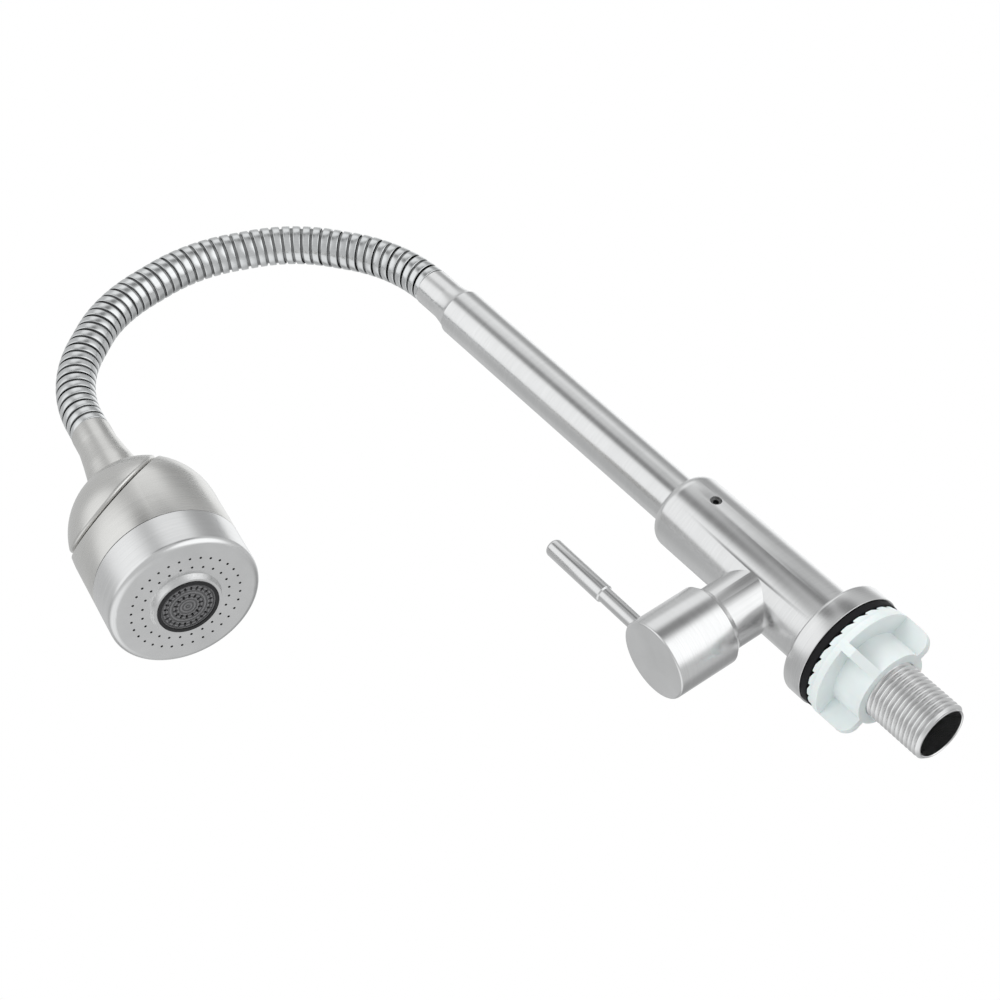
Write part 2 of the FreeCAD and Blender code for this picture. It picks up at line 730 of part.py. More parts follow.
def swivel_cap():
    """Upper part of the dome with the neck that takes the gooseneck's end."""
    base_h = DOME_H + 20.0
    flare_low = NECK_END - NECK_SLEEVE - NECK_FLARE
    neck = revolve([
        (0, base_h), (NECK_BASE_R, base_h), (NECK_BASE_R, flare_low),
        (FERRULE_R, NECK_END - NECK_SLEEVE,
         ("arc", 0.5 * (FERRULE_R + NECK_BASE_R) - 0.12, flare_low + 0.5 * NECK_FLARE)),
        (FERRULE_R, NECK_END), (0, NECK_END),
    ])
    seam_t = SWIVEL_SEAM + SEAM_GAP / 2
    foot = DOME_H - HEAD_R
    tower = dome(HEAD_R, foot, HEAD_R).common(cylinder(HEAD_R + 1, foot, REACH))
    cap = above_swivel(tower.fuse(neck), seam_t)
    inner_r = HEAD_R - HEAD_WALL
    floor_t = seam_t + HEAD_WALL
    room = dome(inner_r, foot, inner_r).fuse(cylinder(FERRULE_BORE_R, DOME_H, NECK_END + 1))
    rim = [e for e in cap.Edges if isinstance(e.Curve, Part.Circle)
           and e.Curve.Center.distanceToPoint(swivel_place().multVec(Vector(0, 0, seam_t))) < 1e-3]
    cap = cap.makeFillet(SWIVEL_EDGE, rim)
    cuts = [
        above_swivel(room, floor_t),
        cylinder(HOSE_PLUG_R + SEAT_GAP, NECK_END - HOSE_PLUG - 2 * SEAT_GAP, NECK_END + 1),
        placed(cylinder(STEM_R + SEAT_GAP, 0, floor_t + 1), swivel_place()),
    ]
    return cap.cut(cuts)


def swivel_stem():
    """Hollow bolt on the oblique axis: screwed in the cap, its head under the shell's wall."""
    head_top = shell_inside_t() - 2 * STEM_RING_SECTION - 0.2
    top = SWIVEL_SEAM + HEAD_WALL + 1.5
    stem = cylinder(STEM_HEAD_R, head_top - STEM_HEAD_T, head_top).fuse(cylinder(STEM_R, head_top, top))
    return placed(stem.cut(cylinder(STEM_BORE_R, 0, top + 1)), swivel_place())


def swivel_o_ring():
    """Seal between the stem's head and the shell's wall."""
    height = shell_inside_t() - STEM_RING_SECTION - 0.1
    return placed(round_ring(STEM_R + STEM_RING_SECTION + 0.05, STEM_RING_SECTION, height), swivel_place())


def core_skirt_r():
    """Radius of the core's skirt, on which the spray cup turns."""
    return HEAD_R - CUP_WALL - RUN_GAP


def core_ring():
    """Centre radius, section radius and height of the core's seal."""
    section = 0.55
    return HEAD_R - CUP_WALL - RUN_GAP / 2 - section, section, CUP_H - 3.5


def head_core():
    """Plastic core fixed in the shell, with the web that carries the spray cup."""
    skirt = core_skirt_r()
    plug = HEAD_R - HEAD_WALL - SEAT_GAP
    inner = plug - CORE_WALL
    web_top = WEB_H + WEB_T
    hub = sleeve_outer_r() + RUN_GAP
    core = revolve([
        (hub, WEB_H), (skirt, WEB_H), (skirt, CUP_H), (plug, CUP_H), (plug, CORE_TOP),
        (inner, CORE_TOP), (inner, web_top), (hub, web_top),
    ])
    ring_r, section, ring_h = core_ring()
    cuts = [groove(ring_r - section - 0.02, ring_h - section - 0.15, ring_h + section + 0.15, skirt + 1)]
    cuts += port_holes(WEB_H - 1, web_top + 1, 0)
    return core.cut(cuts)


def port_holes(low, high, turn):
    """The water ports between the hub and the skirt."""
    middle = (sleeve_outer_r() + HEAD_R - HEAD_WALL - CORE_WALL) / 2
    holes = []
    for i in range(DIVERTER_PORTS):
        angle = math.radians(turn + 360.0 / DIVERTER_PORTS * i)
        at = Vector(middle * math.cos(angle), middle * math.sin(angle), low)
        holes.append(Part.makeCylinder(DIVERTER_PORT_R, high - low, at))
    return holes


def core_o_ring():
    """Seal between the core's skirt and the spray cup."""
    return round_ring(*core_ring())


def sleeve_outer_r():
    """Outer radius of the spray cup's inner sleeve."""
    return SLEEVE_BORE_R + CUP_WALL


def spray_cup():
    """Turning cup with the spray nozzles, the raised boss and the aerator's sleeve."""
    start, end = edge_arc(HEAD_R, 0, CUP_EDGE, -1, 1)
    inner = HEAD_R - CUP_WALL
    cup = revolve([
        (SLEEVE_BORE_R, SLEEVE_TOP), (SLEEVE_BORE_R, -BOSS_H), (BOSS_R - 0.8, -BOSS_H),
        (BOSS_R, 0), (HEAD_R - CUP_EDGE, 0),
        (HEAD_R, CUP_EDGE, end[2]), (HEAD_R, CUP_H), (inner, CUP_H), (inner, FACE_T),
        (sleeve_outer_r(), FACE_T), (sleeve_outer_r(), SLEEVE_TOP),
    ])
    nozzles = []
    for count, radius in NOZZLE_ROWS:
        for i in range(count):
            angle = 2 * math.pi * i / count
            at = Vector(radius * math.cos(angle), radius * math.sin(angle), -1)
            nozzles.append(Part.makeCylinder(NOZZLE_R, FACE_T + 2, at))
    return cup.cut(nozzles)


def diverter_plate():
    """Plate on the cup's sleeve that opens or shuts the core's ports."""
    low = SLEEVE_TOP + SEAT_GAP
    outer = HEAD_R - HEAD_WALL - CORE_WALL - 4 * RUN_GAP
    plate = revolve([(SLEEVE_BORE_R - 2.5, low), (outer, low), (outer, low + DIVERTER_T),
                     (SLEEVE_BORE_R - 2.5, low + DIVERTER_T)])
    return plate.cut(port_holes(low - 1, low + DIVERTER_T + 1, 180.0 / DIVERTER_PORTS))


def aerator_low():
    """Height of the aerator's rim, which stands a little proud of the boss."""
    return -BOSS_H - AERATOR_PROUD


def aerator_housing():
    """Black screw-in housing of the aerator."""
    outer = SLEEVE_BORE_R - SEAT_GAP
    low = aerator_low()
    high = SLEEVE_TOP - GASKET_T
    inner = outer - AERATOR_WALL
    return revolve([(inner, low), (outer, low), (outer, high), (inner, high)])


def aerator_insert():
    """Flow straightener: a plate with two rings of slots on a short tube."""
    outer = SLEEVE_BORE_R - 2 * SEAT_GAP - AERATOR_WALL
    low = aerator_low() + AERATOR_RECESS
    high = SLEEVE_TOP - GASKET_T
    plate_t = 1.5
    insert = revolve([(0, low), (outer, low), (outer, high), (outer - 0.9, high),
                      (outer - 0.9, low + plate_t), (0, low + plate_t)])
    slots = []
    for count, inner_r, outer_r in AERATOR_SLOTS:
        slot = Part.makeBox(outer_r - inner_r, AERATOR_SLOT_W, plate_t + 2,
                            Vector(inner_r, -AERATOR_SLOT_W / 2, low - 1))
        for i in range(count):
            slots.append(placed(slot, Placement(ORIGIN, Rotation(Z, 360.0 * i / count))))
    return insert.cut(slots)


def aerator_gasket():
    """Rubber ring between the aerator and the diverter plate."""
    outer = SLEEVE_BORE_R - 0.15
    return revolve([(outer - 2.2, SLEEVE_TOP - GASKET_T), (outer, SLEEVE_TOP - GASKET_T),
                    (outer, SLEEVE_TOP), (outer - 2.2, SLEEVE_TOP)])


def save(name, shape):
    """Write one piece, and stop if it isn't made of closed solids."""
    if not shape.isValid() or not shape.Solids:
        raise RuntimeError("piece is not a valid solid: " + name)
    shape.exportStep(os.path.join("parts", name + ".step"))
    print(name, len(shape.Solids), round(sum(s.Volume for s in shape.Solids), 1))


os.makedirs("parts", exist_ok=True)

for piece in (tap_body, base_flange, deck_washer, threaded_shank, lock_washer, wing_nut,
              spout_set_screw, cartridge_body, cartridge_seat, cartridge_o_rings, fixed_disc,
              moving_disc, cartridge_spindle, handle_cap, handle_lever, handle_grub_screw,
              riser_spigot, riser_o_rings, riser_wear_ring, riser_tube, hose_ferrule):
    save(piece.__name__, piece())

link_places, link_ribs = hose_path()
for number, rib_count in enumerate(link_ribs):
    link_shape = hose_link(rib_count, number > 0, number < len(link_ribs) - 1)
    save("gooseneck_link_%02d" % number, placed(link_shape, link_places[number]))
save("inner_hose", inner_hose(link_places))

hose_end = link_places[-1]
head_place = hose_end.multiply(Placement(Vector(0, 0, NECK_END), Rotation(Y, 180)))
for piece in (swivel_cap, swivel_stem, swivel_o_ring, head_shell, head_core, core_o_ring,
              spray_cup, diverter_plate, aerator_housing, aerator_insert, aerator_gasket):
    save(piece.__name__, placed(piece(), head_place))

for number, place in enumerate(link_places):
    print("joint", number, [round(v, 4) for v in place.Base], [round(v, 4) for v in place.Rotation.multVec(Z)])
print("head", [round(v, 4) for v in head_place.Base])
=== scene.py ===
# %% [markdown]
# # A flexible spout tap
# The tap is a few turned steel parts, one long ribbed hose and a white plastic nut.
# The solids of every rigid part come from the frame, already in place and in metres.
# This lesson gives them their finishes, softens their edges, and models the two things that
# plain solids can't show well: the wound hose and the cut screw thread.

# %% Load the frame
import json
import math

import bmesh
import bpy
import numpy as np
from mathutils import Matrix, Vector

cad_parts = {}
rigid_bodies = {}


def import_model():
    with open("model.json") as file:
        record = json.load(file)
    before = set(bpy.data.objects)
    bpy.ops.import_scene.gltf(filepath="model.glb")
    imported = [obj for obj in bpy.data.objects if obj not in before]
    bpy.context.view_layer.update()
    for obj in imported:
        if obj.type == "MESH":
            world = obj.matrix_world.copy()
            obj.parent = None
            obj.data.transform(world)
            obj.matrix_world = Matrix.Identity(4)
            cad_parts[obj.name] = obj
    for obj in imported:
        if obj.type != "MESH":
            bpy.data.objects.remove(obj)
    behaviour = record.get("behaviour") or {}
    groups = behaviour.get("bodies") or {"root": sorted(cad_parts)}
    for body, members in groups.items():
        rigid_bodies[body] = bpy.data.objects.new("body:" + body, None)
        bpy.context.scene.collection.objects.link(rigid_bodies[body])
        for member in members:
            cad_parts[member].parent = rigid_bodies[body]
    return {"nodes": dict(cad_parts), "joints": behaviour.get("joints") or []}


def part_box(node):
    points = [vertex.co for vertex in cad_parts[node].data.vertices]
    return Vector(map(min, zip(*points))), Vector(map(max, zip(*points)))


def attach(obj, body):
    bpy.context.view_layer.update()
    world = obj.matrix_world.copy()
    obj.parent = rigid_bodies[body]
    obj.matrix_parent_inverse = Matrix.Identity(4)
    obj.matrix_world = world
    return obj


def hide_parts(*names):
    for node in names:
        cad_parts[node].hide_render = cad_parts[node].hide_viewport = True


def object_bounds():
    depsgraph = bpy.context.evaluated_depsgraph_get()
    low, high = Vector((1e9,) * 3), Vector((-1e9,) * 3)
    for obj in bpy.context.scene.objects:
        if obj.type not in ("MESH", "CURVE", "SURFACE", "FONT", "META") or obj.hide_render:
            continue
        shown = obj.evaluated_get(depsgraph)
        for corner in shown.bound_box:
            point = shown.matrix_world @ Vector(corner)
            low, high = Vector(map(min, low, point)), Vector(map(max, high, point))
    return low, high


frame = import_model()
cad_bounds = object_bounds()
nodes = frame["nodes"]
joints = {joint["name"]: joint for joint in frame["joints"]}

# %% [markdown]
# ## Camera
# The photo looks at the tap from below and to one side, with the camera rolled over.
# A camera can be aimed with a track constraint, but a roll is easier to state as three
# directions: where the image's right, its top and its back point to in the tap's frame.

# %% Camera
CAMERA_PLACE = Vector((0.41673, 0.66939, -0.36859))
IMAGE_RIGHT = Vector((-0.78724, -0.01776, -0.61640))
IMAGE_UP = Vector((-0.46280, 0.67761, 0.57154))
LENS_MM = 97.2
SENSOR_MM = 36.0

scene = bpy.context.scene
scene.view_settings.view_transform = "Standard"
camera_data = bpy.data.cameras.new("camera")
camera_data.sensor_width = SENSOR_MM
camera_data.lens = LENS_MM
camera = bpy.data.objects.new("camera", camera_data)
scene.collection.objects.link(camera)
turn = Matrix((IMAGE_RIGHT, IMAGE_UP, IMAGE_RIGHT.cross(IMAGE_UP))).transposed()
camera.matrix_world = Matrix.Translation(CAMERA_PLACE) @ turn.to_4x4()
scene.camera = camera
print("camera", [round(v, 3) for v in camera.location])

# %% [markdown]
# ## Node helper
# Materials are node trees. A small helper adds a node, sets its values and wires its inputs,
# which keeps each finish short enough to read in one go.

# %% Node helper


class Tree:
    """Adds nodes to a node tree and wires them, one call per node."""

    def __init__(self, tree):
        self.tree = tree
        tree.nodes.clear()

    def add(self, kind, settings=None, **inputs):
        """A node of that kind; inputs are values, or sockets to link from."""
        node = self.tree.nodes.new("ShaderNode" + kind)
        for name, value in (settings or {}).items():
            setattr(node, name, value)
        for name, value in inputs.items():
            key = int(name[1:]) if name[0] == "i" and name[1:].isdigit() else name.replace("_", " ")
            socket = node.inputs[key]
            if isinstance(value, bpy.types.NodeSocket):
                self.tree.links.new(value, socket)
            else:
                socket.default_value = value
        return node

    def math(self, operation, a, b=0.0, c=0.0):
        """The result of a math node."""
        return self.add("Math", {"operation": operation}, i0=a, i1=b, i2=c).outputs[0]

    def dot(self, a, b):
        """The dot product of a vector socket and a fixed direction."""
        return self.add("VectorMath", {"operation": "DOT_PRODUCT"}, i0=a, i1=tuple(b)).outputs["Value"]

    def ramp(self, value, stops, interpolation="LINEAR"):
        """A colour ramp through (position, colour) stops."""
        node = self.add("ValToRGB", Fac=value)
        node.color_ramp.interpolation = interpolation
        elements = node.color_ramp.elements
        while len(elements) < len(stops):
            elements.new(0.5)
        for element, (place, colour) in zip(elements, stops):
            element.position = place
            element.color = (*colour, 1.0) if len(colour) == 3 else colour
        return node.outputs["Color"]


def new_material(name):
    """A material with an empty tree."""
    material = bpy.data.materials.new(name)
    material.use_nodes = True
    return material, Tree(material.node_tree)


# %% [markdown]
# ## Studio
# The photo was taken in a white tent: bright all round, with a few soft grey gaps that draw
# long stripes down every cylinder. A world whose brightness depends on direction does the
# same. The camera sees plain white, while metal sees the tent.

# %% Studio light
TENT_LEVEL = 0.62
TENT_PANELS = (
    # compass bearing and height in degrees, radius and softness in degrees, brightness
    ("front softbox", 128, -36, 24, 20, 1.36),
    ("left softbox", 36, 34, 22, 20, 1.10),
    ("top light", 126, 45, 11, 14, 1.02),
    ("gap beside the top light", 87, 29, 4, 13, 0.22),
    ("gap under the top light", 117, 16, 5, 17, 0.24),
    ("gap behind the top light", 172, 34, 5, 18, 0.42),
    ("dark corner", -30, 20, 10, 26, 0.52),
    ("rim panel", -146, 30, 8, 20, 1.15),
    ("dark floor edge", -118, -18, 10, 24, 0.36),
    ("rear softbox", -35, -30, 22, 26, 1.00),
    ("rear gap", -70, 5, 5, 18, 0.40),
)
TENT_TINT = (0.985, 0.995, 1.0, 1.0)
WHITE = (1.0, 1.0, 1.0, 1.0)
FILL_STRENGTH = 0.80

world = bpy.data.worlds.new("tent")
scene.world = world
world.use_nodes = True
tent = Tree(world.node_tree)
direction = tent.add("TexCoord").outputs["Generated"]
light = TENT_LEVEL
for name, bearing, height, radius, softness, level in TENT_PANELS:
    flat = math.cos(math.radians(height))
    aim = (flat * math.cos(math.radians(bearing)), flat * math.sin(math.radians(bearing)),
           math.sin(math.radians(height)))
    away = tent.math("ARCCOSINE", tent.math("MINIMUM", tent.dot(direction, aim), 1.0))
    share = tent.add("MapRange", {"interpolation_type": "SMOOTHSTEP"}, i0=away,
                     i1=math.radians(radius + softness), i2=math.radians(radius),
                     i3=0.0, i4=1.0).outputs[0]
    light = tent.math("ADD", tent.math("MULTIPLY", light, tent.math("SUBTRACT", 1.0, share)),
                      tent.math("MULTIPLY", share, level))
seen = tent.add("LightPath").outputs
glossy_light = tent.add("Background", Color=TENT_TINT, Strength=light)
fill_light = tent.add("Background", Color=WHITE, Strength=FILL_STRENGTH)
white_light = tent.add("Background", Color=WHITE, Strength=1.0)
for_gloss = tent.add("MixShader", i0=seen["Is Glossy Ray"],
                     i1=fill_light.outputs[0], i2=glossy_light.outputs[0])
for_camera = tent.add("MixShader", i0=seen["Is Camera Ray"],
                      i1=for_gloss.outputs[0], i2=white_light.outputs[0])
tent.add("OutputWorld", Surface=for_camera.outputs[0])
print("tent panels", len(TENT_PANELS))

# %% [markdown]
# ## Lamps and floor
# Two large soft lamps give the plastic its shape and the floor its shadow. Metal doesn't
# mirror them: it only sees the tent. The floor is a pale disc just under the shank. It is
# one-sided: the photo's camera is lower than the floor, so from below the disc lets
# everything through.

# %% Lamps
LAMPS = (
    # name, place, size in metres, watts
    ("key_lamp", Vector((-0.50, 0.95, 0.95)), 0.9, 9.0),
    ("side_lamp", Vector((1.10, 0.55, 0.30)), 0.7, 4.0),
)
LAMP_TARGET = Vector((0.05, 0.0, 0.12))
for name, place, size, watts in LAMPS:
    lamp_data = bpy.data.lights.new(name, "AREA")
    lamp_data.size = size
    lamp_data.energy = watts
    lamp = bpy.data.objects.new(name, lamp_data)
    scene.collection.objects.link(lamp)
    lamp.location = place
    lamp.visible_glossy = False
    lamp.rotation_euler = (LAMP_TARGET - place).to_track_quat("-Z", "Y").to_euler()
print("lamps", len(LAMPS))

# %% Floor
FLOOR_R = 3.0
FLOOR_SEGMENTS = 96
FLOOR_X = 0.06
FLOOR_GAP = 0.0006
FLOOR_GREY = (0.84, 0.84, 0.84, 1.0)
floor_mesh = bpy.data.meshes.new("floor")
floor_bmesh = bmesh.new()
bmesh.ops.create_circle(floor_bmesh, cap_ends=True, segments=FLOOR_SEGMENTS, radius=FLOOR_R)
floor_bmesh.to_mesh(floor_mesh)
floor_bmesh.free()
floor = bpy.data.objects.new("floor", floor_mesh)
scene.collection.objects.link(floor)
floor.location = (FLOOR_X, 0.0, cad_bounds[0][2] - FLOOR_GAP)

pale_floor, tree = new_material("pale_floor")
path = tree.add("LightPath").outputs
below = tree.add("NewGeometry").outputs["Backfacing"]
painted = tree.add("BsdfPrincipled", Base_Color=FLOOR_GREY, Roughness=0.8)
clear = tree.add("BsdfTransparent")
unlit = tree.math("MAXIMUM", path["Is Shadow Ray"], path["Is Glossy Ray"])
hidden = tree.math("MAXIMUM", below, unlit)
sides = tree.add("MixShader", i0=hidden, i1=painted.outputs[0], i2=clear.outputs[0])
tree.add("OutputMaterial", Surface=sides.outputs[0])
floor_mesh.materials.append(pale_floor)
print("floor", FLOOR_R)

# %% [markdown]
# ## Brushed steel
# Turned steel is brushed round its axis, so its scratches are circles about that axis. The
# light spreads along the axis, which is why such tubes show long straight stripes. Here the
# scratches are a noise that is stretched round the axis, and they change the roughness, the
# colour and, by a hair, the surface's slope. Each part gets the axis it was turned on.

# %% Brushed steel
UP = Vector((0, 0, 1))
ACROSS = Vector((0, 1, 0))
FINE_SCRATCHES = (55.0, 5200.0, 3.0)
BROAD_SCRATCHES = (22.0, 420.0, 2.0)
PATCH_SCALE = 46.0
# The colour of the painted shade at the roots of the hose's and the thread's grooves.
GROOVE_SHADE_COLOUR = (0.03, 0.03, 0.03, 1.0)
SCRATCH_DEPTH = 0.00002


def square_to(axis):
    """Two directions square to an axis."""
    side = axis.cross(ACROSS if abs(axis.y) < 0.9 else Vector((1, 0, 0))).normalized()
    return side, axis.cross(side).normalized()


def brushed_steel(name, axis=UP, centre=Vector(), tone=0.72, rough=0.26, scratch=1.0,
                  tint=(1.0, 1.0, 1.0), groove_shade=0.0):
    """Steel brushed round an axis through a centre; painted shade darkens it where the "groove" depth is
    1.
    """
    material, tree = new_material(name)
    place = tree.add("TexCoord").outputs["Object"]
    place = tree.add("VectorMath", {"operation": "SUBTRACT"}, i0=place, i1=tuple(centre)).outputs[0]
    side, other = square_to(axis)

    def scratches(round_scale, along_scale, detail):
        stretched = tree.add("CombineXYZ", X=tree.math("MULTIPLY", tree.dot(place, side), round_scale),
                             Y=tree.math("MULTIPLY", tree.dot(place, other), round_scale),
                             Z=tree.math("MULTIPLY", tree.dot(place, axis), along_scale)).outputs[0]
        return tree.add("TexNoise", Vector=stretched, Scale=1.0, Detail=detail,
                        Roughness=0.6).outputs["Fac"]

    fine = scratches(*FINE_SCRATCHES)
    broad = scratches(*BROAD_SCRATCHES)
    patches = tree.add("TexNoise", Vector=place, Scale=PATCH_SCALE, Detail=3.0,
                       Roughness=0.55).outputs["Fac"]
    low = tuple((tone - 0.07) * c for c in tint)
    high = tuple((tone + 0.05) * c for c in tint)
    mixed = tree.math("ADD", tree.math("MULTIPLY", fine, 0.6), tree.math("MULTIPLY", patches, 0.4))
    colour = tree.ramp(mixed, ((0.3, low), (0.7, high)))
    # Painted shade: the colour darkens towards the roots of the grooves.
    if groove_shade:
        depth = tree.add("Attribute", {"attribute_name": "groove"}).outputs["Fac"]
        colour = tree.add("Mix", {"data_type": "RGBA"}, i0=tree.math("MULTIPLY", depth, groove_shade),
                          i6=colour, i7=GROOVE_SHADE_COLOUR).outputs[2]
    wear = tree.math("ADD", tree.math("MULTIPLY", fine, 0.10 * scratch),
                     tree.math("MULTIPLY", broad, 0.07 * scratch))
    roughness = tree.math("ADD", wear, rough - 0.08 * scratch)
    slope = tree.add("Bump", Strength=0.35 * scratch, Distance=SCRATCH_DEPTH, Height=fine).outputs[0]
    steel = tree.add("BsdfPrincipled", Base_Color=colour, Roughness=roughness, Normal=slope,
                     Metallic=1.0, IOR=2.4)
    tree.add("OutputMaterial", Surface=steel.outputs[0])
    return material


HANDLE_AXIS = Vector((1, 0, 0))
HANDLE_CENTRE = Vector(joints["handle_turn"]["pos_m"])
LEVER_FOOT = Vector((0.045, 0, 0))
HEAD_AXIS = Vector(joints["mode_turn"]["axis"])
HEAD_CENTRE = Vector(joints["mode_turn"]["pos_m"])
WARM = (1.0, 0.99, 0.965)
COOL = (0.98, 0.995, 1.0)
BRASS_TINT = (1.0, 0.80, 0.42)
body_steel = brushed_steel("body_steel", tone=0.74, rough=0.22, scratch=0.7)
riser_steel = brushed_steel("riser_steel", tone=0.76, rough=0.21, scratch=0.7)
handle_steel = brushed_steel("handle_steel", HANDLE_AXIS, HANDLE_CENTRE,
                             tone=0.76, rough=0.22, scratch=0.7)
lever_steel = brushed_steel("lever_steel", UP, LEVER_FOOT, tone=0.74, rough=0.19, scratch=0.4)
head_steel = brushed_steel("head_steel", HEAD_AXIS, HEAD_CENTRE,
                           tone=0.70, rough=0.27, scratch=0.7, tint=WARM)
cup_steel = brushed_steel("cup_steel", HEAD_AXIS, HEAD_CENTRE, tone=0.75, rough=0.25, scratch=0.7)
# The thread's roots get a little painted shade.
thread_steel = brushed_steel("thread_steel", tone=0.82, rough=0.18, scratch=0.5, groove_shade=0.15)
# Dark grub screws: partly black-oxide steel, and partly painted shade for their shadowed sockets.
screw_steel = brushed_steel("screw_steel", tone=0.16, rough=0.35, scratch=0.5)
# The hose's grooves get strong painted shade.
hose_steel = brushed_steel("hose_steel", ACROSS,
                           tone=0.74, rough=0.22, scratch=0.4, tint=COOL, groove_shade=0.72)
brass = brushed_steel("brass", tone=0.72, rough=0.22, tint=BRASS_TINT)
print("brushed metals", len([m for m in bpy.data.materials if m.name.endswith(("_steel", "brass"))]))

# %% [markdown]
# ## Plastics, rubber and ceramic
# The nut is a slightly cloudy white plastic that takes a faint blue-green from the light
# inside it. The aerator is glossy black, and the washer is dull black rubber. All of them
# have a fine moulded grain, from noise in their roughness and slope.

# %% Moulded materials
CLOUD_SCALE = 70.0
GRAIN_SIZE = 0.0002
RIDGE_HEIGHT = 0.0002
RIDGE_VALLEY_SHADE = (0.35, 0.35, 0.35)
RIDGE_TOP = (1.0, 1.0, 1.0)


def moulded(name, colour, rough, depth=0.00001, ridges=0.0, **extra):
    """A moulded material: one colour that varies a little, with a fine grain.

    depth is the grain's height. ridges is the spacing of rings moulded round the head's axis; their
    valleys get painted shade.
    """
    material, tree = new_material(name)
    place = tree.add("TexCoord").outputs["Object"]
    cloud = tree.add("TexNoise", Vector=place, Scale=CLOUD_SCALE, Detail=4.0).outputs["Fac"]
    fine = tree.add("TexNoise", Vector=place, Scale=1.0 / GRAIN_SIZE, Detail=2.0).outputs["Fac"]
    low = tuple(0.96 * c for c in colour)
    high = tuple(1.04 * c for c in colour)
    shade = tree.ramp(cloud, ((0.35, low), (0.65, high)))
    roughness = tree.math("ADD", tree.math("MULTIPLY", fine, 0.12), rough - 0.06)
    slope = tree.add("Bump", Strength=0.3, Distance=depth, Height=fine).outputs[0]
    if ridges:
        arm = tree.add("VectorMath", {"operation": "SUBTRACT"}, i0=place, i1=tuple(HEAD_CENTRE)).outputs[0]
        swept = tree.add("VectorMath", {"operation": "CROSS_PRODUCT"},
                         i0=arm, i1=tuple(HEAD_AXIS)).outputs[0]
        reach = tree.add("VectorMath", {"operation": "LENGTH"}, i0=swept).outputs["Value"]
        wave = tree.math("COSINE", tree.math("MULTIPLY", reach, 2 * math.pi / ridges))
        slope = tree.add("Bump", Strength=1.0, Distance=RIDGE_HEIGHT, Height=wave, Normal=slope).outputs[0]
        # Painted shade in the ridges' valleys: the colour is multiplied darker there.
        groove = tree.ramp(tree.math("MULTIPLY_ADD", wave, 0.5, 0.5),
                           ((0.0, RIDGE_VALLEY_SHADE), (0.6, RIDGE_TOP)))
        shade = tree.add("Mix", {"data_type": "RGBA", "blend_type": "MULTIPLY"},
                         i0=1.0, i6=shade, i7=groove).outputs[2]
    surface = tree.add("BsdfPrincipled", Base_Color=shade, Roughness=roughness, Normal=slope, **extra)
    tree.add("OutputMaterial", Surface=surface.outputs[0])
    return material


white_plastic = moulded("white_plastic", (0.70, 0.755, 0.755), 0.38,
                        Subsurface_Weight=0.15, Subsurface_Scale=0.002)
# The hidden core is dark grey as painted shade, so the gap between cap and shell looks dark.
core_plastic = moulded("core_plastic", (0.20, 0.20, 0.21), 0.5)
black_plastic = moulded("black_plastic", (0.014, 0.014, 0.015), 0.30, Specular_IOR_Level=0.25)
mesh_plastic = moulded("mesh_plastic", (0.17, 0.17, 0.175), 0.34, ridges=0.0012)
black_rubber = moulded("black_rubber", (0.010, 0.010, 0.011), 0.62, depth=0.00003,
                       Specular_IOR_Level=0.15)
ceramic_white = moulded("ceramic_white", (0.86, 0.85, 0.82), 0.18)
print("materials", len(bpy.data.materials))

# %% Finishes of the solids
FINISHES = {
    body_steel: ("tap_body", "base_flange"),
    riser_steel: ("riser_tube", "hose_ferrule"),
    handle_steel: ("handle_cap",),
    lever_steel: ("handle_lever",),
    screw_steel: ("spout_set_screw", "handle_grub_screw"),
    head_steel: ("head_shell", "swivel_cap"),
    cup_steel: ("spray_cup",),
    brass: ("riser_spigot", "cartridge_body", "cartridge_spindle", "swivel_stem"),
    white_plastic: ("riser_wear_ring", "lock_washer", "wing_nut"),
    core_plastic: ("head_core", "diverter_plate"),
    black_plastic: ("aerator_housing",),
    mesh_plastic: ("aerator_insert",),
    black_rubber: ("deck_washer", "cartridge_seat", "cartridge_o_rings", "riser_o_rings",
                   "swivel_o_ring", "core_o_ring", "aerator_gasket"),
    ceramic_white: ("fixed_disc", "moving_disc"),
}
for material, names in FINISHES.items():
    for name in names:
        mesh = nodes[name].data
        mesh.materials.clear()
        mesh.materials.append(material)
print("finished", sum(len(names) for names in FINISHES.values()))

# %% [markdown]
# ## Softened edges
# A machined or moulded edge is never quite sharp: it has a small round that catches the
# light. A Bevel modifier adds it without touching the solid. The mesh is welded first, so
# that the modifier can see which faces meet at an edge.

# %% Softened edges
EDGE_ROUNDS_MM = {
    "tap_body": 0.25, "base_flange": 0.25, "handle_cap": 0.25, "handle_lever": 0.2,
    "wing_nut": 0.6, "lock_washer": 0.2, "head_shell": 0.2, "swivel_cap": 0.3, "deck_washer": 0.3,
    "aerator_housing": 0.15, "hose_ferrule": 0.15,
}
SEAM_WELD = 0.000002
ROUND_SEGMENTS = 3
SHARPEST_UNROUNDED = math.radians(38)
for name, round_mm in EDGE_ROUNDS_MM.items():
    part = nodes[name]
    weld = part.modifiers.new("weld", "WELD")
    weld.merge_threshold = SEAM_WELD
    bevel = part.modifiers.new("edge_round", "BEVEL")
    bevel.width = round_mm / 1000
    bevel.segments = ROUND_SEGMENTS
    bevel.limit_method = "ANGLE"
    bevel.angle_limit = SHARPEST_UNROUNDED
print("softened", len(EDGE_ROUNDS_MM))

# %% [markdown]
# ## Wound surfaces
# A screw thread and a stripwound hose are the same form: one profile that advances by a
# pitch for each turn. If the mesh's rows follow the helix, every edge of the profile stays
# crisp. Rows that would stick out past an end are folded flat onto the end's plane.

# %% Wound tube


def grid_faces(row_count, wide, start=0):
    """Quads between rows of points, each row wide points long, from point number start."""
    corners = [start + i * wide + k for i in range(row_count - 1) for k in range(wide - 1)]
    return [(a, a + wide, a + wide + 1, a + 1) for a in corners]


